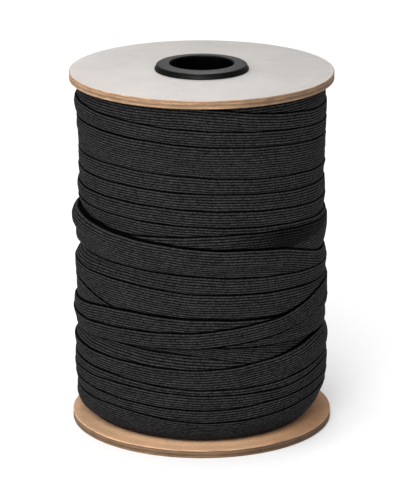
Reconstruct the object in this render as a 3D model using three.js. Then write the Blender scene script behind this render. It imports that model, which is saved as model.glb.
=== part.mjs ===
// A roll of elastic: black braided elastic tape wound on a flanged plywood reel.
//
// Millimetres, +Z up. The reel stands on its lower flange with its axis on Z and the origin at the middle
// of its foot. Angles run around the reel in degrees: 0 faces the front (-Y), 90 faces the right (+X).

import * as THREE from 'three';

// ---- Driving dimensions --------------------------------------------------------------------------------

const REEL_HEIGHT = 137.4;      // from the floor to the face of the upper flange
const FLANGE_RADIUS = 50;
const FLANGE_THICK = 3.1;       // 3-ply board
const FLANGE_ARRIS = 0.35;      // sanded edge
const BORE_RADIUS = 11.95;      // clear way for a spindle
const TUBE_WALL = 1.4;
const SLEEVE_WALL = 0.95;       // the collar's sleeve, inside the tube
const SLEEVE_DEPTH = 14;
const LIP_RADIUS = 17.8;        // the collar's thin flared lip, on the upper flange
const LIP_THICK = 0.45;
const RING_RADIUS = 17.25;      // the collar's raised ring
const RING_RISE = 1.9;          // its outer edge over the lip's seat
const CROWN_RISE = 2.35;        // its inner edge, around the bore
const RING_ROUNDING = 0.45;
const FIT_GAP = 0.3;            // between pieces that touch

const TAPE_WIDTH = 12;
const TAPE_THICK = 1.05;
const TAPE_EDGE = 0.55;         // how far in from its edge the tape reaches its full thickness
const FOLDED_WIDTH = 6.2;       // the tape where one turn has doubled over along its length
const BRIDGE = 1.25;            // how far the tape spans past the edge of a turn beneath it
const FIRM_PILE = 2.1;          // past this height over the body, each further turn is pressed thinner

// ---- Sizes that follow ---------------------------------------------------------------------------------

const SLEEVE_RADIUS = BORE_RADIUS + SLEEVE_WALL;
const TUBE_INNER = SLEEVE_RADIUS + FIT_GAP;
const TUBE_OUTER = TUBE_INNER + TUBE_WALL;
const HUB_RADIUS = TUBE_OUTER + FIT_GAP;            // bore of the flanges and of the winding
const WINDING_FOOT = FLANGE_THICK + FIT_GAP;
const WINDING_TOP = REEL_HEIGHT - FLANGE_THICK - FIT_GAP;

const ROUND_STEPS = { flange: 80, tube: 48, collar: 64, winding: 64 };
const LAYER_STEP = 0.25;        // height of one cell of the column in which the turns are piled up

// ---- Small tools ---------------------------------------------------------------------------------------

const radians = (degrees) => (degrees * Math.PI) / 180;
const clamp = (value, low, high) => Math.min(Math.max(value, low), high);

// A ring turned from a closed outline of [radius, height] points, listed anticlockwise.
function turned(outline, steps) {
  const points = outline.map(([radius, height]) => new THREE.Vector2(radius, height));
  points.push(points[0].clone());
  const ring = new THREE.LatheGeometry(points, steps);
  ring.rotateX(Math.PI / 2);
  return ring;
}

function piece(name, geometry, finish) {
  const mesh = new THREE.Mesh(geometry, new THREE.MeshStandardMaterial(finish));
  mesh.name = name;
  return mesh;
}

// ---- Reel ----------------------------------------------------------------------------------------------

const PLYWOOD = { color: 0xc5a07e, roughness: 0.7, metalness: 0 };
const FACED_PLYWOOD = { color: 0xd8d4d0, roughness: 0.6, metalness: 0 };
const BLACK_PLASTIC = { color: 0x1b1b1c, roughness: 0.4, metalness: 0 };
const BLACK_ELASTIC = { color: 0x242424, roughness: 0.9, metalness: 0 };

function flange(name, foot, finish) {
  const top = foot + FLANGE_THICK;
  const rim = FLANGE_RADIUS;
  const outline = [
    [HUB_RADIUS, foot],
    [rim - FLANGE_ARRIS, foot],
    [rim, foot + FLANGE_ARRIS],
    [rim, top - FLANGE_ARRIS],
    [rim - FLANGE_ARRIS, top],
    [HUB_RADIUS, top],
  ];
  return piece(name, turned(outline, ROUND_STEPS.flange), finish);
}

function coreTube() {
  const top = REEL_HEIGHT - FIT_GAP;
  const outline = [[TUBE_INNER, FIT_GAP], [TUBE_OUTER, FIT_GAP], [TUBE_OUTER, top], [TUBE_INNER, top]];
  return piece('core_tube', turned(outline, ROUND_STEPS.tube), BLACK_PLASTIC);
}

// The collar laps over the upper flange: a thin flared lip, then a ring whose face rises to the bore.
function boreCollar() {
  const seat = REEL_HEIGHT + FIT_GAP;
  const end = REEL_HEIGHT - SLEEVE_DEPTH;
  const outline = [
    [BORE_RADIUS, end],
    [SLEEVE_RADIUS, end],
    [SLEEVE_RADIUS, seat],
    [LIP_RADIUS, seat],
    [LIP_RADIUS, seat + LIP_THICK],
    [RING_RADIUS, seat + 1.5 * LIP_THICK],
    [RING_RADIUS, seat + RING_RISE - RING_ROUNDING],
    [RING_RADIUS - RING_ROUNDING, seat + RING_RISE],
    [BORE_RADIUS + 2 * RING_ROUNDING, seat + CROWN_RISE],
    [BORE_RADIUS + RING_ROUNDING / 2, seat + CROWN_RISE - RING_ROUNDING / 2],
    [BORE_RADIUS, seat + CROWN_RISE - 1.5 * RING_ROUNDING],
  ];
  return piece('bore_collar', turned(outline, ROUND_STEPS.collar), BLACK_PLASTIC);
}

// ---- Winding -------------------------------------------------------------------------------------------

// The pile beneath the last turns: its radius at each height, and how far it leans to the left there.
const BODY = [
  { height: 3.4, radius: 41.3, lean: 0 },
  { height: 5, radius: 43.3, lean: 0.2 },
  { height: 8, radius: 44.8, lean: 0.5 },
  { height: 14, radius: 45.6, lean: 0.8 },
  { height: 50, radius: 45.7, lean: 0.8 },
  { height: 80, radius: 45.5, lean: 0.7 },
  { height: 95, radius: 44.9, lean: 0 },
  { height: 110, radius: 45.1, lean: 0 },
  { height: 134, radius: 45.2, lean: 0 },
];

// The height of the tape's upper edge at each of these angles, a row for each turn, in the order wound.
// A turn runs on into the next one at the back. Proud is how far it stands off what it lies on.
const EDGE_ANGLES = [-135, -75, -40, 0, 40, 75, 135];
const BURIED_TURN = [
  { turn: 'under', proud: 0, width: TAPE_WIDTH, edge: [39.5, 41.0, 40.5, 38.8, 37.0, 36.5, 38.0] },
];
const OUTER_TURNS = [
  { turn: 'a', proud: 0, width: TAPE_WIDTH, edge: [134, 134, 134, 134, 134, 134, 134] },
  { turn: 'b', proud: 0, width: TAPE_WIDTH, edge: [134, 134, 134, 133.4, 129.3, 127.0, 128.4] },
  { turn: 'c', proud: 0, width: TAPE_WIDTH, edge: [129.0, 128.4, 127.2, 125.4, 123.1, 120.7, 120.9] },
  { turn: 'd', proud: 0, width: TAPE_WIDTH, edge: [121.4, 121.2, 121.0, 119.2, 117.3, 115.0, 112.0] },
  { turn: 'e', proud: 0, width: TAPE_WIDTH, edge: [109.6, 108.8, 108.9, 107.5, 105.4, 103.6, 102.9] },
  { turn: 'f', proud: 0, width: TAPE_WIDTH, edge: [102.6, 102.3, 102.4, 101.4, 99.4, 97.7, 96.9] },
  { turn: 'g', proud: 0, width: 10.8, edge: [96.3, 95.9, 96.2, 94.9, 93.1, 91.0, 90.5] },
  { turn: 'h', proud: 0, width: TAPE_WIDTH, edge: [90.4, 90.3, 90.1, 88.7, 86.8, 85.0, 85.0] },
  { turn: 'i', proud: 0.8, width: TAPE_WIDTH, edge: [85.4, 85.2, 83.5, 80.5, 77.6, 70.6, 69.5] },
  { turn: 'j', proud: 0, width: TAPE_WIDTH, edge: [70.8, 71.4, 71.8, 69.7, 67.8, 66.1, 65.8] },
  { turn: 'k', proud: 0, width: TAPE_WIDTH, edge: [65.6, 65.5, 65.4, 63.1, 61.4, 60.0, 59.6] },
  { turn: 'l', proud: 0, width: TAPE_WIDTH, edge: [59.5, 58.4, 54.0, 50.8, 45.0, 41.5, 42.0] },
  { turn: 'm', proud: 0, width: TAPE_WIDTH, edge: [47.0, 50.9, 54.2, 53.5, 51.9, 50.6, 49.5] },
  { turn: 'n', proud: 0.3, width: FOLDED_WIDTH, edge: [46.5, 45.6, 47.3, 48.8, 52.3, 57.4, 57.0] },
  { turn: 's', proud: 0, width: TAPE_WIDTH, edge: [36.5, 34.4, 34.7, 34.0, 36.8, 39.2, 36.0] },
  { turn: 't', proud: 0, width: TAPE_WIDTH, edge: [29.5, 28.2, 27.9, 26.0, 26.9, 28.9, 26.5] },
  { turn: 'u', proud: 0, width: TAPE_WIDTH, edge: [23.8, 24.2, 25.2, 24.1, 24.0, 26.6, 24.0] },
  { turn: 'v', proud: 0, width: TAPE_WIDTH, edge: [20.5, 19.6, 19.4, 17.8, 19.6, 21.2, 18.5] },
  { turn: 'w', proud: 0, width: TAPE_WIDTH, edge: [15.0, 14.9, 15.2, 12.7, 14.0, 16.7, 15.0] },
];

const CELLS = Math.round((WINDING_TOP - WINDING_FOOT) / LAYER_STEP) + 1;
const cellHeight = (cell) => WINDING_FOOT + cell * LAYER_STEP;

// The value at one place along a line of [place, value] knots, straight between them.
function straight(knots, place) {
  const last = knots.length - 1;
  const inside = clamp(place, knots[0][0], knots[last][0]);
  const next = Math.max(1, knots.findIndex(([at]) => at >= inside));
  const [from, low] = knots[next - 1];
  const [to, high] = knots[next];
  return low + ((high - low) * (inside - from)) / (to - from);
}

// The same, on a smooth curve through the knots, level at both ends.
function smooth(knots, place) {
  const last = knots.length - 1;
  const inside = clamp(place, knots[0][0], knots[last][0]);
  const next = Math.max(1, knots.findIndex(([at]) => at >= inside));
  const slope = (index) => {
    if (index === 0 || index === last) return 0;
    return (knots[index + 1][1] - knots[index - 1][1]) / (knots[index + 1][0] - knots[index - 1][0]);
  };
  const [from, low] = knots[next - 1];
  const [to, high] = knots[next];
  const span = to - from;
  const t = (inside - from) / span;
  return (2 * t ** 3 - 3 * t ** 2 + 1) * low
    + (t ** 3 - 2 * t ** 2 + t) * span * slope(next - 1)
    + (3 * t ** 2 - 2 * t ** 3) * high
    + (t ** 3 - t ** 2) * span * slope(next);
}

// A run of turns as one long path, measured in degrees from the front of its first turn.
function route(turns) {
  const at = (index, angle) => 360 * index + angle;
  const ends = [EDGE_ANGLES[0], EDGE_ANGLES[EDGE_ANGLES.length - 1]];
  return {
    edge: turns.flatMap((row, index) => row.edge.map((z, k) => [at(index, EDGE_ANGLES[k]), z])),
    width: turns.flatMap((row, index) => ends.map((angle) => [at(index, angle), row.width])),
    proud: turns.flatMap((row, index) => ends.map((angle) => [at(index, angle), row.proud])),
    count: turns.length,
  };
}

const ROUTES = [route(BURIED_TURN), route(OUTER_TURNS)];

// The tape seen in one upright slice: its upper and lower edges, and how far it stands off.
function crossing(path, index, angle) {
  const place = 360 * index + angle;
  const upper = Math.min(smooth(path.edge, place), WINDING_TOP);
  const lower = Math.max(upper - straight(path.width, place), WINDING_FOOT + FIT_GAP);
  return { upper, lower, proud: straight(path.proud, place) };
}

// What a tape lying on this column spans: the highest point near each cell, then the mean of those.
function bridged(column) {
  const reach = Math.round(BRIDGE / LAYER_STEP);
  const near = (values, cell) => values.slice(Math.max(0, cell - reach), cell + reach + 1);
  const highest = column.map((_, cell) => Math.max(...near(column, cell)));
  return highest.map((_, cell) => {
    const around = near(highest, cell);
    return around.reduce((sum, value) => sum + value, 0) / around.length;
  });
}

// The winding's radius at every height of one upright slice, with its turns laid one over another.
function column(angle) {
  const rows = Array.from({ length: CELLS }, (_, cell) => cellHeight(cell));
  const lean = Math.sin(radians(angle));
  const body = rows.map((z) => straight(BODY.map((row) => [row.height, row.radius]), z)
    - lean * straight(BODY.map((row) => [row.height, row.lean]), z));
  let pile = body;
  for (const path of ROUTES) {
    for (let index = 0; index < path.count; index += 1) {
      const tape = crossing(path, index, angle);
      const bed = bridged(pile);
      pile = pile.map((radius, cell) => {
        const inset = Math.min(rows[cell] - tape.lower, tape.upper - rows[cell]);
        if (inset <= 0) return radius;
        const pressed = 1 + Math.max(0, bed[cell] - body[cell] - FIRM_PILE) / TAPE_THICK;
        const rounding = Math.sqrt(1 - (1 - Math.min(inset / TAPE_EDGE, 1)) ** 2);
        return Math.max(radius, bed[cell] + tape.proud + (TAPE_THICK / pressed) * rounding);
      });
    }
  }
  return pile;
}

const ROW_OFFSET = 0.4;         // rows of points sit this far above and below each edge that shows
const ROW_SPACING = 1.5;        // least distance between two edges' rows
const BACK_FROM = 120;          // past this angle the rows leave the edges, and the form softens
const BACK_FULL = 160;
const FOLDED_TURN = OUTER_TURNS.findIndex((row) => row.width === FOLDED_WIDTH);

// The edges that the rows of points follow in one slice, from the top down: each turn's upper edge, and
// the lower edges of the folded turn and of the one beneath it, which show too.
function guides(angle) {
  const [, path] = ROUTES;
  const edges = [];
  for (let index = 1; index < path.count; index += 1) edges.push(crossing(path, index, angle).upper);
  edges.push(crossing(path, FOLDED_TURN, angle).lower);
  edges.push(crossing(path, FOLDED_TURN - 1, angle).lower);
  edges.sort((a, b) => b - a);
  let ceiling = WINDING_TOP - ROW_SPACING;
  return edges.map((edge) => {
    const held = Math.min(edge, ceiling);
    ceiling = held - ROW_SPACING;
    return held;
  });
}

// Each turn runs into the next at the back, so no ring of points can follow an edge all the way round:
// this is how far, from 0 to 1, a slice has gone over to evenly spaced rows.
function backness(angle) {
  const t = clamp((Math.abs(angle) - BACK_FROM) / (BACK_FULL - BACK_FROM), 0, 1);
  return t * t * (3 - 2 * t);
}

// The heights of one slice's points, from the top down.
function rowHeights(angle) {
  const edges = guides(angle);
  const heights = [WINDING_TOP];
  edges.forEach((edge, k) => {
    const below = k + 1 < edges.length ? edges[k + 1] : WINDING_FOOT + ROW_SPACING;
    heights.push(edge + ROW_OFFSET, edge - ROW_OFFSET, (edge + below) / 2);
  });
  heights.push(WINDING_FOOT);
  const last = heights.length - 1;
  const even = (row) => WINDING_TOP + ((WINDING_FOOT - WINDING_TOP) * row) / last;
  return heights.map((z, row) => z + (even(row) - z) * backness(angle));
}

// The winding's radius at one height of a slice.
function radiusAt(radii, z) {
  const cell = clamp((z - WINDING_FOOT) / LAYER_STEP, 0, CELLS - 1);
  const below = Math.min(Math.floor(cell), CELLS - 2);
  return radii[below] + (radii[below + 1] - radii[below]) * (cell - below);
}

// The winding is a turned ring whose outer points are then set on the piled-up turns.
function elasticWinding() {
  const steps = ROUND_STEPS.winding;
  const outline = [[HUB_RADIUS, WINDING_TOP], [HUB_RADIUS, WINDING_FOOT]];
  for (const z of rowHeights(0).reverse()) outline.push([FLANGE_RADIUS, z]);
  const geometry = turned(outline, steps);
  const points = geometry.getAttribute('position');
  const perSlice = outline.length + 1;
  for (let slice = 0; slice <= steps; slice += 1) {
    const turn = slice % steps;
    const angle = (turn * 360) / steps - (turn * 2 >= steps ? 360 : 0);
    const sharp = column(angle);
    const soft = bridged(sharp);
    const radii = sharp.map((radius, cell) => radius + (soft[cell] - radius) * backness(angle));
    rowHeights(angle).reverse().forEach((z, row) => {
      const radius = radiusAt(radii, z);
      const [x, y] = [radius * Math.sin(radians(angle)), -radius * Math.cos(radians(angle))];
      points.setXYZ(slice * perSlice + 2 + row, x, y, z);
    });
  }
  return piece('elastic_winding', geometry, BLACK_ELASTIC);
}

// ---- The part ------------------------------------------------------------------------------------------

const group = new THREE.Group();
group.name = 'roll_of_elastic';
group.add(flange('bottom_flange', 0, PLYWOOD));
group.add(flange('top_flange', REEL_HEIGHT - FLANGE_THICK, FACED_PLYWOOD));
group.add(coreTube());
group.add(boreCollar());
group.add(elasticWinding());

export default group;
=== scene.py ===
import math

import bmesh
import bpy
import numpy as np
from mathutils import Matrix, Vector


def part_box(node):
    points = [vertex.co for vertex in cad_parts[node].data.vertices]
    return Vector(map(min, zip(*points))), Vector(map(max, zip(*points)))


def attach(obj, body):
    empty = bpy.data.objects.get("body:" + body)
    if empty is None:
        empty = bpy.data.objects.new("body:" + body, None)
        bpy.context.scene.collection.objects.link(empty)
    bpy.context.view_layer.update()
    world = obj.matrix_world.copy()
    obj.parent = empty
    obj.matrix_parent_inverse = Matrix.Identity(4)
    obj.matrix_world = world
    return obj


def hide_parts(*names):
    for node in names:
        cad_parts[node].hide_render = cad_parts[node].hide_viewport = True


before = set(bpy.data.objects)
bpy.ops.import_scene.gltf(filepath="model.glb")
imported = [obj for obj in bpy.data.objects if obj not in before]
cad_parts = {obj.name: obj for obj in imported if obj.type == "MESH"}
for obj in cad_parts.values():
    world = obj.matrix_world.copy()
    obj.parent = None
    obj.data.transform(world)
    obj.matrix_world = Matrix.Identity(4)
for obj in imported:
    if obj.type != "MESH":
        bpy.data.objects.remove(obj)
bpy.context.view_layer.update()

# A roll of elastic: black braided tape wound in uneven turns on a reel with plywood flanges and a black
# plastic collar. Metres, +Z up; angles run round the reel in degrees, 0 at the front (-Y), 90 at the right.

bl_info = {
    "name": "Roll of Elastic",
    "version": (1, 0, 0),
    "blender": (4, 5, 0),
    "location": "View3D > Sidebar > Roll of Elastic",
    "description": "Winds braided elastic on a flanged plywood reel",
    "category": "Object",
}

MM = 0.001
GAP = 0.3 * MM          # clearance between two pieces that are fitted together
BODY = "root"

BOTTOM_BOARD, TOP_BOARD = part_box("bottom_flange"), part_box("top_flange")
COLLAR_BOX, WINDING_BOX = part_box("bore_collar"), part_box("elastic_winding")
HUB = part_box("core_tube")[1].x + GAP        # radius of the hole in what is fitted round the tube


def linear(red, green, blue):
    """A colour of a paint card, 0 to 255 a channel, as the scene's linear light."""
    return tuple(
        (c / 255 / 12.92) if c <= 10 else ((c / 255 + 0.055) / 1.055) ** 2.4
        for c in (red, green, blue)
    )


# ---- Sizes and colours a user may change -------------------------------------------------------------


def length(name, description, millimetres):
    """A size that a user may change."""
    return bpy.props.FloatProperty(
        name=name, description=description, default=millimetres * MM, unit="LENGTH", precision=5
    )


def colour(name, description, card):
    """A colour that a user may change, given as on a paint card."""
    return bpy.props.FloatVectorProperty(
        name=name, description=description, default=linear(*card), subtype="COLOR", size=3, min=0, max=1
    )


class ReelSizes(bpy.types.PropertyGroup):
    """Sizes of the boards, the collar and the tape."""

    board_arris: length("Board arris", "Rounding along the rim of a board", 0.3)
    collar_lip: length("Collar lip", "Radius of the collar's thin flared lip", 17.8)
    collar_ring: length("Collar ring", "Radius of the collar's raised ring", 17.25)
    bore: length("Bore", "Radius of the clear way through the collar", 11.95)
    tape_width: length("Tape width", "Width of the elastic, laid flat", 12.0)
    tape_thick: length("Tape thickness", "Thickness of the elastic", 1.05)
    rib_depth: length("Rib depth", "Depth of the grooves between the ribs of the elastic", 0.36)
    ribs: bpy.props.IntProperty(
        name="Ribs", description="Rubber cords braided into the elastic's width", default=13, min=2
    )


class ReelColours(bpy.types.PropertyGroup):
    """Colours of the boards, the collar and the tape."""

    elastic: colour("Elastic", "Polyester cover of the elastic", (48, 48, 49))
    plastic: colour("Plastic", "Collar and tube", (13, 13, 13))
    facing: colour("Facing", "Pale facing on the upper side of the top board", (176, 172, 169))
    veneer: colour("Veneer", "Outer plies of the boards", (206, 166, 131))
    ruddy: colour("Ruddy grain", "Redder patches in the veneer", (200, 152, 114))
    core_ply: colour("Core ply", "Dark middle ply of the boards", (180, 143, 110))


# ---- Materials ---------------------------------------------------------------------------------------

# The scales of a noise are waves to the metre, or to the unit of the map that it lies on. The plain factors
# beside a noise are shares of the brightness, the roughness or the gloss that it adds or takes away.


class Wire:
    """What one socket of a material gives out. Arithmetic on it adds Math nodes."""

    def __init__(self, finish, socket):
        self.finish = finish
        self.socket = socket

    def maths(self, operation, *values):
        """A Math node on this wire and the values after it."""
        return self.finish.node("ShaderNodeMath", {"operation": operation}, dict(enumerate((self, *values))))

    def __add__(self, other):
        return self.maths("ADD", other)

    def __sub__(self, other):
        return self.maths("SUBTRACT", other)

    def __rsub__(self, other):
        return self * -1 + other

    def __mul__(self, other):
        return self.maths("MULTIPLY", other)

    def __truediv__(self, other):
        return self.maths("DIVIDE", other)

    def __pow__(self, other):
        return self.maths("POWER", other)

    def __mod__(self, other):
        return self.maths("MODULO", other)

    def __abs__(self):
        return self.maths("ABSOLUTE")

    __radd__ = __add__
    __rmul__ = __mul__

    def step(self, low, high):
        """0 up to low, 1 from high on, with a soft change between them."""
        return self.finish.node(
            "ShaderNodeMapRange",
            {"interpolation_type": "SMOOTHSTEP"},
            {"Value": self, "From Min": low, "From Max": high},
        )


class Finish:
    """A material being made up: one shader, and the nodes that feed it."""

    def __init__(self, name, **constants):
        self.material = bpy.data.materials.new(name)
        self.material.use_nodes = True
        self.tree = self.material.node_tree
        self.tree.nodes.clear()
        self.shader = self.tree.nodes.new("ShaderNodeBsdfPrincipled")
        end = self.tree.nodes.new("ShaderNodeOutputMaterial")
        self.tree.links.new(self.shader.outputs["BSDF"], end.inputs["Surface"])
        for socket, value in constants.items():
            self.shader.inputs[socket.replace("_", " ")].default_value = value

    def plug(self, socket, value):
        """Sets a socket to a plain value, or leads a wire into it."""
        if isinstance(value, Wire):
            self.tree.links.new(value.socket, socket)
        elif socket.type == "RGBA":
            socket.default_value = (*value[:3], 1)
        else:
            socket.default_value = value

    def node(self, kind, settings=None, inputs=None, output=0):
        """Any node: its settings are set first, then the values or wires of its sockets."""
        made = self.tree.nodes.new(kind)
        for name, value in (settings or {}).items():
            if name == "stops":
                stops = made.color_ramp.elements
                while len(stops) < len(value):
                    stops.new(1)
                for stop, (place, shade) in zip(stops, value):
                    stop.position = place
                    stop.color = (*shade, 1)
            else:
                setattr(made, name, value)
        for name, value in (inputs or {}).items():
            self.plug(made.inputs[name], value)
        return Wire(self, made.outputs[output])

    def feed(self, **sockets):
        """Sockets of the shader, each with its value or wire."""
        for name, value in sockets.items():
            self.plug(self.shader.inputs[name.replace("_", " ")], value)

    # Of the sockets of a Mix node, 6 and 7 are its two colours, and output 2 the colour that comes of them.

    def blend(self, share, first, second):
        """The first colour where the share is 0, the second where it is 1."""
        return self.node("ShaderNodeMix", {"data_type": "RGBA"}, {0: share, 6: first, 7: second}, 2)

    def tint(self, shade, amount):
        """A colour made darker or lighter by a number."""
        return self.node(
            "ShaderNodeMix", {"data_type": "RGBA", "blend_type": "MULTIPLY"}, {0: 1.0, 6: shade, 7: amount}, 2
        )

    def place(self):
        """Where a point lies on its piece, in metres."""
        return self.node("ShaderNodeTexCoord", output="Object")

    def parts(self, vector):
        """The three numbers of a vector, each as a wire of its own."""
        made = self.node("ShaderNodeSeparateXYZ", None, {0: vector}).socket.node
        return [Wire(self, socket) for socket in made.outputs]

    def joined(self, x, y):
        """A flat vector of two wires."""
        return self.node("ShaderNodeCombineXYZ", None, {0: x, 1: y})

    def scaled(self, vector, scale):
        """A vector stretched by its own factor along each axis."""
        return self.node("ShaderNodeMapping", None, {"Vector": vector, "Scale": scale})

    def noise(self, vector, scale, detail=2.0, rough=0.5):
        """Cloudy noise from 0 to 1, mostly near a half."""
        inputs = {"Vector": vector, "Scale": scale, "Detail": detail, "Roughness": rough}
        return self.node("ShaderNodeTexNoise", None, inputs)

    def bump(self, height, depth):
        """A surface roughened by a height from 0 to 1, at most as deep as given."""
        return self.node("ShaderNodeBump", None, {"Height": height, "Distance": depth})


def from_axis(x, y):
    """Distance from the reel's axis."""
    return (x * x + y * y) ** 0.5


BRAID_MAP = "braid"     # a map of the tape: millimetres along it, and ribs down across it
SHADE = "shade"         # painted shade: 1 where the tape is tucked in a joint, 0 out in the open
CREST = 1.9             # how steeply a rib's colour falls off into the painted shade of the groove beside it
STITCH = 1.5            # millimetres of tape to one pass of the braid
STITCH_LEAN = 0.9       # millimetres that a stitch leans across its row
ROW_START = 7.31        # millimetres that each row of stitches starts further along than the last

# Pairs of places between which a finish changes, in metres from the reel's axis unless said otherwise.
BORE_EDGE = 0, 0.6 * MM                 # out from the bore: from the wall within, darkened as painted shade, to the ring
RING_FRONT = 14.5 * MM, 18.5 * MM       # forward from the axis: to the front of the ring, which gets more coat as a painted highlight
RING_TOP = 0.9 * MM, 0.2 * MM           # down from the ring's top: from its side to its flat
BOARD_RIM = 49.55 * MM, 49.8 * MM       # from a board's side to its rim
TAPE_FOOT = 43.5 * MM, 47.5 * MM        # from the board beside the tape, lightened with painted light against the winding's shade, out to where that light ends
FACING_EDGE = 48.6 * MM, 49.3 * MM      # to the pale line along the edge of the facing
FACING_DEPTH = 0.9 * MM, 0.6 * MM       # down from the top of the board: from the wood to its facing
RUDDY_SIDE = 0, 50 * MM                 # to the right: to the ruddier wood
SHADED_SIDES = 20 * MM, 50 * MM           # to the left and the right: to where painted shade darkens the board
SHADED_RIGHT = 8 * MM, 50 * MM            # to the right alone, darker still with painted shade
SHADED_RIM_SIDE = -4 * MM, 36 * MM        # to the right: to the side of a rim darkened with painted shade


def elastic_finish(colours):
    """Braided polyester over rubber cords: two rows of slanting stitches on each rib. Its colour is lighter
    on the rib crests as painted sheen, near black in the grooves between ribs as painted shade, and darkened
    in the joints as painted shade.
    """
    finish = Finish("black_elastic", Specular_IOR_Level=0.03)
    lie = finish.node("ShaderNodeUVMap", {"uv_map": BRAID_MAP})
    shade = finish.node("ShaderNodeAttribute", {"attribute_name": SHADE}, output="Fac")
    along, across, _ = finish.parts(lie)
    crest = ((across % 1) * math.pi).maths("SINE") ** CREST
    row = (across * 2).maths("FLOOR")
    inside = across * 2 - row
    lean = 1 - (row % 2) * 2
    slant = along + (inside - 0.5) * lean * STITCH_LEAN + row * ROW_START
    dashes = finish.noise(finish.joined(slant * 0.8, row * 3.7), 1.0, 1.0)
    wander = finish.noise(finish.joined(along * 0.2, row), 1.0, 1.0)
    stitch = ((slant / STITCH + wander * 2) * math.tau).maths("SINE") * 0.5 + 0.5
    patch = finish.noise(finish.scaled(lie, (0.05, 0.3, 1)), 1.0, 2.0)
    # Painted sheen and shade: bright on each rib's crest, near black in the groove beside it.
    light = (0.01 + crest * 1.24) * (dashes.step(0.28, 0.72) + stitch * 0.3 + 0.35)
    light = light * (0.65 + patch * 0.56)
    # The shade attribute darkens the colour as painted shade in the joints.
    finish.feed(
        Base_Color=finish.tint(tuple(colours.elastic), light * (1 - shade.step(0.12, 0.7) * 0.98)),
        Roughness=0.85 - stitch * 0.15,
        Normal=finish.bump(stitch * 0.5 + dashes, 0.05 * MM),
    )
    return finish.material


def plastic_finish(colours, bore, top):
    """Moulded black plastic: a satin ring with rubbed marks. Its coat is strongest on the flat of the ring
    and towards the front as a painted highlight, faint on its wall, and none within the bore, whose colour is
    darkened as painted shade.
    """
    finish = Finish("black_plastic", Specular_IOR_Level=0.02, Coat_Roughness=0.3)
    place = finish.place()
    x, y, z = finish.parts(place)
    outside = from_axis(x, y).step(*(bore + out for out in BORE_EDGE))
    front = (y * -1).step(*RING_FRONT)
    upper = z.step(*(top - down for down in RING_TOP))
    # Painted highlight: more coat on the ring's flat and towards the front, where the highlight shows.
    highlight_coat = outside * (0.05 + front * 0.35 + upper * (0.5 - y * 6))
    mottle = finish.noise(place, 900.0, 3.0)
    rubbed = finish.noise(finish.scaled(place, (160, 160, 900)), 1.0, 4.0, 0.7).step(0.45, 0.8)
    # Painted shade: within the bore the colour is darkened to a fifth.
    tone = (0.85 + mottle * 0.3 + rubbed * 0.35) * (0.2 + outside * 0.8)
    finish.feed(
        Base_Color=finish.tint(tuple(colours.plastic), tone),
        Roughness=0.36 + mottle * 0.14 + rubbed * 0.1,
        Coat_Weight=highlight_coat * (0.6 + mottle * 0.3 + rubbed * 0.3),
        Normal=finish.bump(mottle, 0.02 * MM),
    )
    return finish.material


def ply_bands(colours, rim_tone, arris_highlight):
    """The plies up a board's rim, as the stops of a ramp from its lower side to its upper one, the arris at
    the top lighter as a painted highlight.
    """
    pale, veneer = (tuple(c * tone * rim_tone for c in colours.veneer) for tone in (1.25, 1.0))
    core, glue = (tuple(c * tone * rim_tone for c in colours.core_ply) for tone in (1.0, 0.75))
    # Painted highlight: the rounded upper arris is lighter than the rim below it.
    arris = tuple(c * arris_highlight for c in colours.veneer)
    return [
        (0.0, pale), (0.08, pale), (0.11, veneer), (0.24, veneer), (0.27, core), (0.36, core),
        (0.39, glue), (0.46, glue), (0.49, core), (0.58, veneer), (0.76, veneer), (0.79, glue),
        (0.82, core), (0.88, core), (0.9, arris),
    ]


def veneer_side(finish, colours, grain):
    """Colour and roughness of a bare side: sanded veneer, ruddier to the right, lightened by the tape as
    painted light, and darkened at its sides, the right most, as painted shade.
    """
    place = finish.place()
    x, y, _ = finish.parts(place)
    painted_light_by_tape = 1 - from_axis(x, y).step(*TAPE_FOOT)
    fibre = finish.noise(place, 1500.0, 3.0, 0.7).step(0.25, 0.75)
    blotch = finish.noise(place, 190.0, 2.0).step(0.3, 0.7)
    fleck = finish.noise(finish.scaled(place, (420, 2400, 900)), 1.0, 2.0).step(0.62, 0.8)
    ruddy = x.step(*RUDDY_SIDE) * 0.8 + blotch * 0.2
    wood = finish.blend(ruddy, tuple(colours.veneer), tuple(colours.ruddy))
    # Painted light: the board is lightened by a third beside the tape, where the winding's shade falls.
    tone = (0.7 + grain * 0.34 + fibre * 0.24 + blotch * 0.14 - fleck * 0.4) * (1 + painted_light_by_tape * 0.35)
    # Painted shade: darker at the left and the right, and more at the right.
    painted_side_shade = (1 - abs(x).step(*SHADED_SIDES) * 0.2) * (1 - x.step(*SHADED_RIGHT) * 0.2)
    return finish.tint(wood, tone * painted_side_shade), 0.62 + grain * 0.16


def faced_side(finish, colours, grain, facing, top):
    """Colour and roughness of a side with a pale facing, darkened to the right and the back as painted shade.
    """
    place = finish.place()
    x, y, z = finish.parts(place)
    cloud = finish.noise(place, 55.0, 3.0, 0.55)
    speck = finish.noise(place, 420.0, 2.0, 0.6)
    # Painted shade: the facing darkens to the right and the back, and is paler along its edge.
    painted_falloff = 1 - x * 2.2 - y * 2.1 + from_axis(x, y).step(*FACING_EDGE) * 0.07
    cool = finish.tint(facing, (0.8 + cloud * 0.3 + speck * 0.12) * painted_falloff)
    warm = tuple(c * k for c, k in zip(facing, (1.02, 0.99, 0.95)))
    paper = finish.blend(finish.noise(place, 30.0, 2.0).step(0.4, 0.8) * 0.4, cool, warm)
    bare = finish.tint(tuple(colours.veneer), 0.86 + grain * 0.26)
    faced = z.step(*(top - down for down in FACING_DEPTH))
    return finish.blend(faced, bare, paper), 0.55 + cloud * 0.12


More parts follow.
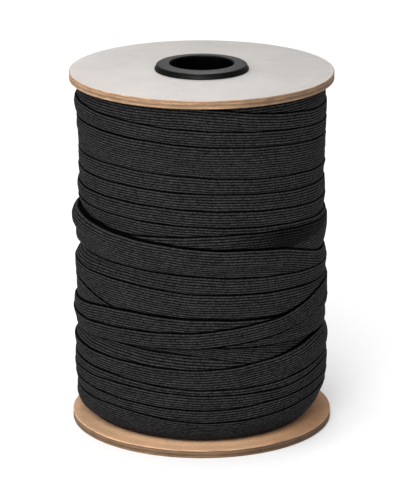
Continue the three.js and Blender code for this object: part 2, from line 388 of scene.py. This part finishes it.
def board_finish(name, colours, board, facing, rim_tone, arris_highlight):
    """Three-ply board: one of the two sides above, and the plies showing in bands along its rim."""
    low, high = board
    finish = Finish(name, Specular_IOR_Level=0.15)
    place = finish.place()
    x, y, z = finish.parts(place)
    rim = from_axis(x, y).step(*BOARD_RIM)
    streaks = finish.noise(finish.scaled(place, (190, 190, 2600)), 1.0, 4.0, 0.65)
    waver = finish.noise(finish.scaled(place, (45, 45, 300)), 1.0, 2.0)
    grain = finish.noise(finish.scaled(place, (60, 900, 400)), 1.0, 4.0, 0.6)
    depth = (z - low.z) / (high.z - low.z) + (waver - 0.5) * 0.12
    plies = finish.node("ShaderNodeValToRGB", {"stops": ply_bands(colours, rim_tone, arris_highlight)}, {0: depth})
    # Painted shade: the rim darkens towards the right, away from the key light.
    painted_rim_shade = 1 - x.step(*SHADED_RIM_SIDE) * 0.42
    banded = finish.tint(plies, (0.62 + streaks.step(0.3, 0.7) * 0.6) * painted_rim_shade)
    if facing is None:
        side, roughness = veneer_side(finish, colours, grain)
    else:
        side, roughness = faced_side(finish, colours, grain, facing, high.z)
    finish.feed(
        Base_Color=finish.blend(rim, side, banded),
        Roughness=roughness,
        Normal=finish.bump(grain * (1 - rim) * 0.5 + streaks * rim, 0.06 * MM),
    )
    return finish.material


# ---- Shared steps of modelling -----------------------------------------------------------------------

SHARP_CORNER = math.radians(50)     # a bend steeper than this shades as an edge
ROUNDING_STEPS = 4      # flats across each rounding
HOLD = 1.4              # how far from a rounded corner the points that hold it lie, in roundings
HOLD_MOST = 0.45        # the most of a side that they may take
WELD = 1e-7             # points nearer than this, in metres, are one


def as_mesh(shape, name):
    """Hands the shape over to a new mesh."""
    mesh = bpy.data.meshes.new(name)
    shape.to_mesh(mesh)
    shape.free()
    return mesh


def put_out(context, shape, name, finish, node):
    """Makes a finished shape a piece of the reel, in place of its plain solid."""
    bmesh.ops.recalc_face_normals(shape, faces=shape.faces)
    mesh = as_mesh(shape, name)
    mesh.polygons.foreach_set("use_smooth", [True] * len(mesh.polygons))
    mesh.materials.append(finish)
    piece = bpy.data.objects.new(name, mesh)
    context.scene.collection.objects.link(piece)
    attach(piece, BODY)
    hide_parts(node)


def beside(corner, other, rounding):
    """A point on the side that runs from a corner to another one, clear of the corner's rounding."""
    share = min(HOLD * rounding / math.dist(corner, other), HOLD_MOST)
    return tuple(c + (o - c) * share for c, o in zip(corner, other))


def held(outline, roundings):
    """The outline with a point on each side of its rounded corners, so that its flat sides shade flat."""
    points, rounds = [], []
    befores, afters = outline[-1:] + outline[:-1], outline[1:] + outline[:1]
    for corner, rounding, before, after in zip(outline, roundings, befores, afters):
        if rounding:
            points += [beside(corner, before, rounding), corner, beside(corner, after, rounding)]
            rounds += [0, rounding, 0]
        else:
            points.append(corner)
            rounds.append(0)
    return points, rounds


def turned(outline, roundings, steps):
    """A ring turned from a closed outline of (radius, height), its corners rounded first."""
    outline, roundings = held(outline, roundings)
    shape = bmesh.new()
    corners = [shape.verts.new((radius, 0, height)) for radius, height in outline]
    for corner, after in zip(corners, corners[1:] + corners[:1]):
        shape.edges.new((corner, after))
    for corner, rounding in zip(corners, roundings):
        if rounding:
            bmesh.ops.bevel(
                shape,
                geom=[corner],
                offset=rounding,
                offset_type="OFFSET",
                affect="VERTICES",
                segments=ROUNDING_STEPS,
                profile=0.5,
                material=-1,
            )
    bmesh.ops.spin(
        shape,
        geom=shape.verts[:] + shape.edges[:],
        axis=(0, 0, 1),
        cent=(0, 0, 0),
        angle=math.tau,
        steps=steps,
        use_merge=True,
    )
    bmesh.ops.remove_doubles(shape, verts=shape.verts, dist=WELD)
    for edge in shape.edges:
        edge.smooth = edge.calc_face_angle(0) < SHARP_CORNER
    return shape


# ---- The winding -------------------------------------------------------------------------------------

# Everything in this part is in millimetres and degrees until the points are set.

TAPE_EDGE = 0.4         # how far in from its edge the tape reaches its full thickness
BRIDGE = 1.25           # how far the tape spans past the edge of a turn beneath it
PACKING = 1.3           # how much less each turn rises over the ones it squeezes
EDGE_DROP = 0.55        # how far the tape's rounded edge turns in
TAPE_BACK = 1.0         # how far the tape's inner side lies behind its face
TUCK = 0.1              # how much further in its inner side lies where a turn is folded narrower
INNER_INSET = 0.3       # how far in from the edges the points of the inner side begin
UNDER_TAPE = 0.4        # how far the inner turns lie beneath the tape
FOOT_GAP = 0.3          # how far off the winding's foot the lowest turn stays
PRESS = 0.5             # how deep an edge sinks into the turn beneath it
PRESS_REACH = 0.33      # how far past the edge of a flat turn that sinking fades
PROUD_REACH = 1.6       # the share that it reaches further for each millimetre the turn stands proud, which also widens the painted shade under a proud edge
EDGE_SHADE = 0.15       # how far in from its edge the tape is darkened with the painted shade of the joint
EDGE_GROOVE = 0.4       # depth of the grooves at the very edge, as a share of the depth on the flat
RIB_SPREAD = 0.16       # how much wider than the mean the ribs are at the upper edge
LOOSE_RIBS, FIRM_RIBS = 1.25, 0.8    # depth of the grooves at the upper edge and at the lower one
EDGE_WANDER = 0.12      # how far a turn's edge wanders up and down
RISE_WANDER = 0.08      # how much the tape's thickness varies along it, as a share
WANDER_WAVES = (19.0, 31.0, 47.0, 83.0, 146.0)      # degrees of tape to one wave of these wanders
BURIED_SEED, OUTER_SEED, RISE_SEED = 11, 23, 5      # the last is added for the thickness
RAMP = 15.0             # degrees in which a buried end of tape thins out
TAPE_CUT = 170.0        # where the last turn ends, at the back

# The pile beneath the last turns.
INNER_TURNS = (         # height, radius at the left, the front and the right
    (3.4, 40.3, 38.7, 38.8),
    (5.0, 42.4, 40.4, 40.6),
    (8.0, 45.5, 43.0, 43.0),
    (11.0, 47.1, 44.4, 44.3),
    (14.0, 46.2, 45.4, 45.0),
    (18.0, 46.6, 46.2, 46.0),
    (22.0, 47.4, 47.2, 47.0),
    (26.0, 47.6, 47.3, 47.0),
    (30.0, 47.0, 46.6, 46.2),
    (34.0, 47.8, 47.5, 47.3),
    (38.0, 45.8, 45.0, 44.2),
    (42.0, 46.4, 46.2, 46.0),
    (46.0, 47.6, 46.6, 45.7),
    (50.0, 47.0, 46.7, 46.4),
    (54.0, 46.8, 46.6, 46.5),
    (58.0, 46.6, 46.3, 46.1),
    (62.0, 47.2, 46.1, 45.1),
    (66.0, 47.3, 46.6, 45.9),
    (70.0, 44.1, 44.8, 45.5),
    (74.0, 45.8, 45.8, 45.9),
    (78.0, 42.8, 44.7, 46.6),
    (82.0, 46.3, 46.3, 46.3),
    (86.0, 44.0, 44.6, 45.2),
    (90.0, 45.2, 45.5, 45.7),
    (94.0, 46.1, 45.8, 45.6),
    (98.0, 45.1, 45.1, 45.2),
    (102.0, 45.6, 45.6, 45.6),
    (106.0, 45.8, 45.8, 45.8),
    (110.0, 45.7, 45.6, 45.6),
    (114.0, 45.9, 45.8, 45.6),
    (118.0, 46.1, 46.0, 45.8),
    (122.0, 44.9, 45.4, 45.9),
    (126.0, 46.8, 46.4, 46.0),
    (130.0, 45.2, 45.5, 45.8),
    (134.0, 45.2, 45.5, 45.8),
)

PAINTED_SHADOW_UNDER_TURN = (         # painted shadow on a turn that lies beneath another: angle round it, its darkness, how far down from the upper edge that is
    (-20, 0.0, 9.0),
    (15, 0.28, 9.0),
    (38, 0.5, 9.0),
    (80, 0.42, 2.4),
    (120, 0.0, 2.4),
)
PAINTED_SHADOW_SOFTNESS = 1.5        # how softly that painted shadow ends

EDGE_ANGLES = (-135, -75, -40, 0, 40, 75, 135)


class Turn:
    """One turn of the tape: the height of its upper edge at each of EDGE_ANGLES, and how it lies there.

    Proud is how far it stands off what it lies on, and swell how far its middle bows out, each at the
    turn's start and at its end. A turn in painted shadow is darkened beneath the one wound over it.
    """

    def __init__(self, *edge, width=12.0, proud=(0, 0), swell=(0, 0), in_painted_shadow=False):
        self.edge = edge
        self.width = width
        self.proud = proud
        self.swell = swell
        self.in_painted_shadow = in_painted_shadow


# The turns in the order wound. Each outer turn runs on into the next at the back.
BURIED_TURNS = (Turn(39.5, 41.0, 40.5, 38.8, 37.0, 36.5, 38.0),)
OUTER_TURNS = (
    Turn(134.0, 134.0, 134.0, 134.0, 134.0, 134.0, 134.0),
    Turn(134.0, 134.0, 134.0, 133.4, 129.3, 127.0, 128.4),
    Turn(129.0, 128.4, 127.2, 125.4, 123.1, 120.7, 120.9),
    Turn(121.4, 121.2, 121.0, 119.2, 117.3, 115.0, 112.0),
    Turn(109.6, 108.8, 108.9, 107.5, 105.4, 103.6, 102.9),
    Turn(102.6, 102.3, 102.4, 101.4, 99.4, 97.7, 96.9),
    Turn(96.3, 95.9, 96.2, 94.9, 93.1, 91.0, 90.5, width=10.8),
    Turn(90.4, 90.3, 90.1, 88.7, 86.8, 85.0, 85.0),
    # This turn lies under the next, proud one and is given a painted shadow.
    Turn(84.5, 84.2, 83.6, 85.2, 85.0, 83.0, 82.0, in_painted_shadow=True),
    Turn(85.4, 85.2, 83.5, 80.5, 77.6, 70.6, 69.5, proud=(1.0, 0.3), swell=(1.5, 0.5)),
    Turn(70.8, 71.4, 71.8, 69.7, 67.8, 66.1, 65.8),
    Turn(65.6, 65.5, 65.4, 63.1, 61.4, 60.0, 59.6),
    Turn(59.5, 58.4, 54.0, 50.8, 45.0, 41.5, 42.0),
    Turn(47.0, 50.9, 54.2, 53.5, 51.9, 50.6, 49.5, width=10.6, proud=(0.3, 0.8)),
    Turn(46.5, 45.6, 47.3, 48.8, 52.3, 57.4, 57.0, width=6.2, proud=(0.3, 0.3)),
    Turn(36.5, 34.4, 34.7, 34.0, 36.8, 39.2, 36.0),
    Turn(29.5, 28.2, 27.9, 26.0, 26.9, 28.9, 26.5),
    Turn(23.8, 24.2, 25.2, 24.1, 24.0, 26.6, 24.0),
    Turn(20.5, 19.6, 19.4, 17.8, 19.6, 21.2, 18.5),
    Turn(15.0, 14.9, 15.2, 12.7, 14.0, 16.7, 15.0),
)
TAPE_PIECES = (         # piece, first and last of the outer turns in it, counted from 0
    ("elastic_tape_upper", 0, 4),
    ("elastic_tape_middle", 5, 10),
    ("elastic_tape_crossing", 11, 15),
    ("elastic_tape_lower", 16, 19),
)

SLICES = 180            # upright slices round the reel in which the turns are piled up
CELL = 0.25             # height of one cell of a slice
SLICE_ANGLES = np.arange(SLICES) * (360 / SLICES) - 180
WINDING_FOOT = WINDING_BOX[0].z / MM
WINDING_TOP = WINDING_BOX[1].z / MM
CELLS = round((WINDING_TOP - WINDING_FOOT) / CELL) + 1
HEIGHTS = WINDING_FOOT + CELL * np.arange(CELLS)

MEAN_RADIUS = 47.0      # radius at which the length of the tape is measured
POINTS_A_RIB = 5        # points of the section across each rib
INNER_POINTS = 9        # points of the section along its inner side

BAKE_MAP = "OFBake"     # a map of each length of tape, laid out in rows so that no two faces overlap
BAKE_ROWS = 10
BAKE_SIDE = 0.002       # what is left free at each end of a row, as a share of the map
BAKE_BETWEEN = 0.03     # and above and below it, as a share of the row


def unevenness(place, seed, amount):
    """A slow, seeded wander along the tape."""
    random = np.random.default_rng(seed)
    total = np.zeros_like(place, dtype=float)
    for wave in WANDER_WAVES:
        total += np.sin(place * (math.tau / wave) + random.uniform(0, math.tau)) * random.uniform(0.5, 1)
    return total * amount / 2


def smooth_line(places, values, at):
    """A smooth curve through the knots (cubic Hermite), level at both ends."""
    slopes = np.zeros_like(values)
    slopes[1:-1] = (values[2:] - values[:-2]) / (places[2:] - places[:-2])
    at = np.clip(at, places[0], places[-1])
    low = np.clip(np.searchsorted(places, at) - 1, 0, len(places) - 2)
    span = places[low + 1] - places[low]
    t = (at - places[low]) / span
    return (
        (2 * t**3 - 3 * t**2 + 1) * values[low]
        + (t**3 - 2 * t**2 + t) * span * slopes[low]
        + (3 * t**2 - 2 * t**3) * values[low + 1]
        + (t**3 - t**2) * span * slopes[low + 1]
    )


class Route:
    """A run of turns as one long path, measured in degrees from the front of its first turn."""

    def __init__(self, turns, seed, cut=None):
        self.turns = turns
        self.seed = seed
        starts = 360.0 * np.arange(len(turns))
        self.knots = np.add.outer(starts, EDGE_ANGLES).ravel()
        self.ends = np.add.outer(starts, (EDGE_ANGLES[0], EDGE_ANGLES[-1])).ravel()
        self.edge = np.array([height for turn in turns for height in turn.edge], float)
        self.width = np.repeat([turn.width for turn in turns], 2)
        self.proud = np.ravel([turn.proud for turn in turns])
        self.swell = np.ravel([turn.swell for turn in turns])
        self.end = starts[-1] + 180
        self.cut = self.end if cut is None else starts[-1] + cut

    def lie(self, place):
        """Upper edge, lower edge, folded width, proudness and swell at places along the path."""
        upper = smooth_line(self.knots, self.edge, place) + unevenness(place, self.seed, EDGE_WANDER)
        upper = np.minimum(upper, WINDING_TOP)
        rows = (self.width, self.proud, self.swell)
        width, proud, swell = (np.interp(place, self.ends, row) for row in rows)
        lower = np.maximum(upper - width, WINDING_FOOT + FOOT_GAP)
        return upper, lower, width, proud, swell

    def fullness(self, place):
        """The tape's thickness as a share: it wanders a little, and thins out at an end that isn't cut."""
        full = (place + 180) / RAMP
        if self.cut == self.end:
            full = np.minimum(full, (self.end - place) / RAMP)
        return np.clip(full, 0, 1) * (1 + unevenness(place, self.seed + RISE_SEED, RISE_WANDER))


def inner_radius(angle, z):
    """Radius of the inner turns at angles round the reel and heights."""
    height, left, front, right = np.array(INNER_TURNS).T
    sideways = np.sin(np.radians(angle))
    middle = np.interp(z, height, front)
    side = np.where(sideways < 0, np.interp(z, height, left), np.interp(z, height, right))
    return middle + (side - middle) * sideways**4


def near_cells(values, pick):
    """The highest value, or the mean, of the cells within the bridge of each cell."""
    reach = round(BRIDGE / CELL)
    padded = np.pad(values, ((0, 0), (reach, reach)), mode="edge")
    return pick(np.lib.stride_tricks.sliding_window_view(padded, 2 * reach + 1, axis=1), axis=2)


def edge_rounding(inset):
    """How full the tape is at a distance in from its edge, from 0 at the edge to 1."""
    return np.sqrt(1 - (1 - np.clip(inset / TAPE_EDGE, 0, 1)) ** 2)


class Course:
    """One turn of tape as it lies on the pile, for every slice."""

    def __init__(self, route, index, pile, body, thick):
        place = 360 * index + SLICE_ANGLES
        self.upper, self.lower, self.width, proud, swell = route.lie(place)
        upper, lower, proud, swell = (row[:, None] for row in (self.upper, self.lower, proud, swell))
        self.is_there = (place <= route.cut)[:, None]
        self.bed = near_cells(near_cells(pile, np.max), np.mean)
        self.rise = thick * np.exp(-PACKING * (self.bed - body) / thick) * route.fullness(place)[:, None]
        bow = np.sin(math.pi * np.clip((upper - HEIGHTS) / (upper - lower), 0, 1))
        self.face = self.bed + self.rise + proud + swell * bow
        self.reach = PRESS_REACH * (1 + PROUD_REACH * proud)
        # Painted shadow: how dark, and how far down, the colour of a turn in painted shadow is made.
        angles, darkness, depth = np.array(PAINTED_SHADOW_UNDER_TURN).T
        self.dark = np.interp(SLICE_ANGLES, angles, darkness) * route.turns[index].in_painted_shadow
        self.dark_depth = np.interp(SLICE_ANGLES, angles, depth)

    def laid(self, pile):
        """The pile with this turn on it."""
        inset = np.minimum(HEIGHTS - self.lower[:, None], self.upper[:, None] - HEIGHTS)
        top = self.face - self.rise * (1 - edge_rounding(inset))
        return np.where((inset > 0) & self.is_there, np.maximum(pile, top), pile)

    def pressing(self):
        """How much this turn presses on what lies beneath it, from 0 to 1; it also sets the painted shade
        there.
        """
        above = np.clip(HEIGHTS - self.upper[:, None], 0, None)
        below = np.clip(self.lower[:, None] - HEIGHTS, 0, None)
        return np.exp(-(((above + below) / self.reach) ** 2)) * self.is_there


def pile_up(thick):
    """Every turn of the tape, the buried one first, piled in the order wound."""
    body = inner_radius(SLICE_ANGLES[:, None], HEIGHTS)
    pile = body
    courses = []
    for route in (Route(BURIED_TURNS, BURIED_SEED), Route(OUTER_TURNS, OUTER_SEED, TAPE_CUT)):
        for index in range(len(route.turns)):
            course = Course(route, index, pile, body, thick)
            pile = course.laid(pile)
            courses.append(course)
    over = np.zeros_like(body)
    for course in reversed(courses):
        course.over = over
        over = np.maximum(over, course.pressing())
    return courses


def at_height(grid, z):
    """Values of a slice grid at heights given for every slice."""
    cell = np.clip((z - WINDING_FOOT) / CELL, 0, CELLS - 1.001)     # short of the last, so there is one above
    low = cell.astype(int)
    rows = np.arange(SLICES)[:, None]
    return grid[rows, low] + (grid[rows, low + 1] - grid[rows, low]) * (cell - low)


class Section:
    """The tape's cross-section: a closed line, out across its ribbed face and back along its inner one."""

    def __init__(self, sizes):
        width = sizes.tape_width / MM
        outer = np.linspace(0, width, sizes.ribs * POINTS_A_RIB + 1)
        inner = np.linspace(width - INNER_INSET, INNER_INSET, INNER_POINTS)
        self.across = np.concatenate([outer, inner])
        self.is_outer = np.arange(len(self.across)) < len(outer)
        share = self.across / width
        self.rib = sizes.ribs * share * (1 - RIB_SPREAD + RIB_SPREAD * share)
        depth = sizes.rib_depth / MM * (LOOSE_RIBS + (FIRM_RIBS - LOOSE_RIBS) * share)
        self.groove = depth * (1 - np.abs(np.sin(self.rib * math.pi)))

    def points(self, course):
        """Radius, height and painted shade of every point of the section, for every slice of a course."""
        upper, lower, width = course.upper[:, None], course.lower[:, None], course.width[:, None]
        squeeze = (upper - lower) / width
        tucked = self.across > width
        down = np.where(tucked, 2 * width - self.across, self.across) * squeeze
        z = upper - down
        inset = np.clip(np.minimum(down, width * squeeze - down), 0, None)
        rounding = edge_rounding(inset)
        face = at_height(course.face, z)
        over = at_height(course.over, z)
        groove = self.groove * (EDGE_GROOVE + (1 - EDGE_GROOVE) * rounding)
        outer = face - EDGE_DROP * (1 - rounding) - groove
        inner = np.minimum(face - TAPE_BACK, at_height(course.bed, z)) - TUCK * tucked
        # Painted shadow beneath a proud turn, and painted shade where a later turn presses on this one.
        shadow_reach = np.clip((course.dark_depth[:, None] - down) / PAINTED_SHADOW_SOFTNESS + 0.5, 0, 1)
        shade = np.maximum(over, course.dark[:, None] * shadow_reach)
        # Painted shade along the tape's own edges, as in the dark of a joint.
        shade = np.maximum(shade, np.exp(-((inset / EDGE_SHADE) ** 2)))
        return np.where(self.is_outer & ~tucked, outer, inner) - PRESS * over, z, shade


def grid_mesh(name, steps, count):
    """A flat grid, with the step along it and the number across it of each of its points."""
    shape = bmesh.new()
    bmesh.ops.create_grid(shape, x_segments=steps, y_segments=count, size=1)
    mesh = as_mesh(shape, name)
    places = np.empty(len(mesh.vertices) * 3, np.float32)
    mesh.vertices.foreach_get("co", places)
    x, y, _ = (places.reshape(-1, 3).T + 1) / 2
    return mesh, np.rint(x * steps).astype(int), np.rint(y * count).astype(int)


def lay_map(mesh, name, u, v):
    """A map of the mesh, from the two places of every corner of its faces."""
    layer = mesh.uv_layers.new(name=name)
    layer.data.foreach_set("uv", np.stack([u, v], 1).astype(np.float32).ravel())


def bake_places(step, number, steps, count):
    """Where each corner of a length of tape lies on its bake map, the four of a face always in one row."""
    row_steps = math.ceil(steps / BAKE_ROWS)
    row = np.minimum.reduceat(step, np.arange(0, len(step), 4)).repeat(4) // row_steps
    u = BAKE_SIDE + (1 - 2 * BAKE_SIDE) * (step / row_steps - row)
    v = (row + BAKE_BETWEEN + (1 - 2 * BAKE_BETWEEN) * number / count) / BAKE_ROWS
    return u, v


def tape_mesh(name, courses, section, first, last):
    """One length of tape: a grid of steps along it by points round it, laid on the pile and closed."""
    tables = [section.points(course) for course in courses[first : last + 2]]
    radius, height, shade = (np.concatenate(column) for column in zip(*tables))
    to_cut = 360 * (len(courses) - 1 - first) + TAPE_CUT + 180
    steps = min((last - first + 1) * SLICES, round(to_cut / 360 * SLICES))
    count = len(section.across)
    mesh, step, number = grid_mesh(name, steps, count)
    point = number % count
    travel = step * (360 / SLICES)
    turn = np.radians(travel - 180)
    r = radius[step, point] * MM
    placed = np.stack([r * np.sin(turn), -r * np.cos(turn), height[step, point] * MM], 1)
    mesh.vertices.foreach_set("co", placed.astype(np.float32).ravel())

    corner = np.empty(len(mesh.loops), np.int32)
    mesh.loops.foreach_get("vertex_index", corner)
    along = np.radians(travel + 360 * first) * MEAN_RADIUS
    lay_map(mesh, BRAID_MAP, along[corner], section.rib[point][corner])
    lay_map(mesh, BAKE_MAP, *bake_places(step[corner], number[corner], steps, count))
    shading = mesh.attributes.new(SHADE, "FLOAT", "POINT")
    shading.data.foreach_set("value", shade[step, point].astype(np.float32))

    shape = bmesh.new()
    shape.from_mesh(mesh)
    bpy.data.meshes.remove(mesh)
    bmesh.ops.remove_doubles(shape, verts=shape.verts, dist=WELD)
    bmesh.ops.holes_fill(shape, edges=[edge for edge in shape.edges if edge.is_boundary], sides=0)
    return shape


# ---- Operators ---------------------------------------------------------------------------------------

BOARD_STEPS, COLLAR_STEPS, INNER_STEPS = 240, 192, 120     # flats round each ring that is turned


class BuildBoards(bpy.types.Operator):
    """Turns the two plywood flanges, each with a softened rim"""

    bl_idname = "elastic_reel.boards"
    bl_label = "Boards"

    def execute(self, context):
        sizes, colours = context.scene.reel_sizes, context.scene.reel_colours
        rows = (        # piece, solid it replaces, material, box, facing, tone of its rim and of its arris, whose lighter tone is a painted highlight
            ("bottom_board", "bottom_flange", "plywood", BOTTOM_BOARD, None, 0.36, 1.1),
            ("top_board", "top_flange", "faced_plywood", TOP_BOARD, tuple(colours.facing), 0.6, 0.8),
        )
        for name, node, slot, board, facing, rim_tone, arris_highlight in rows:
            low, high = board
            outline = [(HUB, low.z), (high.x, low.z), (high.x, high.z), (HUB, high.z)]
            shape = turned(outline, (0, sizes.board_arris, sizes.board_arris, 0), BOARD_STEPS)
            finish = board_finish(slot, colours, board, facing, rim_tone, arris_highlight)
            put_out(context, shape, name, finish, node)
        return {"FINISHED"}


class BuildCollar(bpy.types.Operator):
    """Turns the black collar around the bore, and finishes the tube under it"""

    bl_idname = "elastic_reel.collar"
    bl_label = "Collar and tube"

    def execute(self, context):
        sizes, colours = context.scene.reel_sizes, context.scene.reel_colours
        low, high = COLLAR_BOX
        finish = plastic_finish(colours, sizes.bore, high.z)
        lip, ring, bore = sizes.collar_lip, sizes.collar_ring, sizes.bore
        sleeve = bore + 0.95 * MM
        seat = TOP_BOARD[1].z + GAP
        corners = (     # radius, height, rounding
            (bore, low.z, 0.2 * MM),
            (sleeve, low.z, 0.2 * MM),
            (sleeve, seat, 0),
            (lip, seat, 0),
            (lip, seat + 0.45 * MM, 0.18 * MM),
            (ring, seat + 0.75 * MM, 0.4 * MM),
            (ring - 0.05 * MM, high.z - 0.45 * MM, 0.7 * MM),
            (bore + 1.1 * MM, high.z, 0.5 * MM),
            (bore + 0.3 * MM, high.z - 0.1 * MM, 0.3 * MM),
            (bore, high.z - 0.9 * MM, 0.3 * MM),
        )
        shape = turned([c[:2] for c in corners], [c[2] for c in corners], COLLAR_STEPS)
        put_out(context, shape, "collar", finish, "bore_collar")
        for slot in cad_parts["core_tube"].material_slots:
            slot.material = finish
        return {"FINISHED"}


class WindElastic(bpy.types.Operator):
    """Winds the elastic on the reel, turn over turn"""

    bl_idname = "elastic_reel.winding"
    bl_label = "Elastic"

    def execute(self, context):
        sizes, colours = context.scene.reel_sizes, context.scene.reel_colours
        finish = elastic_finish(colours)
        courses = pile_up(sizes.tape_thick / MM)
        section = Section(sizes)
        buried, outer = courses[:1], courses[1:]
        lengths = [("elastic_tape_buried", buried, 0, 0)]
        lengths += [(name, outer, first, last) for name, first, last in TAPE_PIECES]
        for name, run, first, last in lengths:
            shape = tape_mesh(name, run, section, first, last)
            put_out(context, shape, name, finish, "elastic_winding")
        self.inner_turns(context, sizes, finish)
        return {"FINISHED"}

    def inner_turns(self, context, sizes, finish):
        """The turns beneath, of which only the outside can show: one ring."""
        outline = [(HUB, WINDING_TOP * MM), (HUB, WINDING_FOOT * MM)]
        outline += [(front * MM, height * MM) for height, _, front, _ in INNER_TURNS]
        shape = turned(outline, [0] * len(outline), INNER_STEPS)
        for vert in shape.verts:
            flat = vert.co.to_2d()
            if flat.length > HUB + MM:      # all but the hole round the tube
                angle = math.degrees(math.atan2(flat.x, -flat.y))
                wide = float(inner_radius(angle, vert.co.z / MM)) - UNDER_TAPE
                vert.co.xy = flat.normalized() * wide * MM
        braid = shape.loops.layers.uv.new(BRAID_MAP)
        for face in shape.faces:
            middle = face.calc_center_median()
            facing = math.atan2(middle.x, -middle.y)
            for loop in face.loops:
                x, y, z = loop.vert.co
                turn = math.atan2(x, -y)
                turn += math.tau * round((facing - turn) / math.tau)
                loop[braid].uv = (turn * MEAN_RADIUS, z / sizes.tape_width * sizes.ribs)
        put_out(context, shape, "elastic_inner_turns", finish, "elastic_winding")


FLOOR_REACH = 6.0       # metres from the middle of the floor to its sides
FLOOR_TONE = (0.93, 0.93, 0.93)

CAMERA_PLACE = (-0.000072, -1.064236, 0.388272)
CAMERA_PITCH = 0.2938   # radians that the camera looks down
CAMERA_LENS, CAMERA_SENSOR = 208.631448, 36.0      # millimetres

LIGHTS = (              # name, place, size, watts
    ("key", (-0.7, -0.45, 0.55), 0.8, 3.4),
    ("front", (-0.25, -1.2, 1.15), 0.9, 15.0),
    ("top", (-0.1, 0.1, 1.8), 1.0, 8.0),
    ("back", (0.0, 1.6, 1.6), 1.2, 10.0),
)
LIGHT_AIM = 0.07        # height at which the lights are aimed
BACK_AIM = 0.6          # how far before itself a light behind the reel is aimed
STUDIO_STRENGTH = 0.55  # of the even light from all round


class SetStage(bpy.types.Operator):
    """Lays a pale floor, sets soft studio lights and stands the camera at the product view"""

    bl_idname = "elastic_reel.stage"
    bl_label = "Stage"

    def execute(self, context):
        self.floor(context)
        self.camera(context)
        self.lights(context)
        self.studio(context)
        context.scene.view_settings.view_transform = "Standard"
        return {"FINISHED"}

    def floor(self, context):
        shape = bmesh.new()
        bmesh.ops.create_grid(shape, x_segments=1, y_segments=1, size=FLOOR_REACH)
        mesh = as_mesh(shape, "floor")
        finish = Finish("floor", Specular_IOR_Level=0.0, Roughness=1.0)
        finish.feed(Base_Color=FLOOR_TONE)
        mesh.materials.append(finish.material)
        floor = bpy.data.objects.new("floor", mesh)
        context.scene.collection.objects.link(floor)

    def camera(self, context):
        data = bpy.data.cameras.new("camera")
        data.sensor_width = CAMERA_SENSOR
        data.lens = CAMERA_LENS
        data.clip_start, data.clip_end = 0.05, 50
        camera = bpy.data.objects.new("camera", data)
        tilt = Matrix.Rotation(math.pi / 2 - CAMERA_PITCH, 4, "X")
        camera.matrix_world = Matrix.Translation(CAMERA_PLACE) @ tilt
        context.scene.collection.objects.link(camera)
        context.scene.camera = camera

    def lights(self, context):
        for name, place, size, watts in LIGHTS:
            data = bpy.data.lights.new(name, "AREA")
            data.shape = "DISK"
            data.size = size
            data.energy = watts
            light = bpy.data.objects.new(name, data)
            light.location = place
            aim = Vector((0, max(place[1] - BACK_AIM, 0), LIGHT_AIM)) - Vector(place)
            light.rotation_mode = "QUATERNION"
            light.rotation_quaternion = aim.to_track_quat("-Z", "Y")
            context.scene.collection.objects.link(light)

    def studio(self, context):
        world = bpy.data.worlds.new("studio")
        world.use_nodes = True
        air = world.node_tree.nodes["Background"]
        air.inputs["Color"].default_value = (1, 1, 1, 1)
        air.inputs["Strength"].default_value = STUDIO_STRENGTH
        context.scene.world = world


class ReelPanel(bpy.types.Panel):
    """Sizes, colours and steps of the reel, in the 3D view's sidebar"""

    bl_idname = "VIEW3D_PT_elastic_reel"
    bl_label = "Roll of Elastic"
    bl_space_type = "VIEW_3D"
    bl_region_type = "UI"
    bl_category = "Roll of Elastic"

    def draw(self, context):
        for group in (context.scene.reel_sizes, context.scene.reel_colours):
            box = self.layout.box()
            for name in group.__annotations__:
                box.prop(group, name)
        for step in STEPS:
            self.layout.operator(step.bl_idname)


STEPS = (SetStage, BuildBoards, BuildCollar, WindElastic)
CLASSES = (ReelSizes, ReelColours, *STEPS, ReelPanel)


def register():
    for cls in CLASSES:
        bpy.utils.register_class(cls)
    bpy.types.Scene.reel_sizes = bpy.props.PointerProperty(type=ReelSizes)
    bpy.types.Scene.reel_colours = bpy.props.PointerProperty(type=ReelColours)


def unregister():
    del bpy.types.Scene.reel_colours
    del bpy.types.Scene.reel_sizes
    for cls in reversed(CLASSES):
        bpy.utils.unregister_class(cls)


def main():
    register()
    bpy.ops.elastic_reel.stage()
    bpy.ops.elastic_reel.boards()
    bpy.ops.elastic_reel.collar()
    bpy.ops.elastic_reel.winding()


if __name__ == "__main__":
    main()
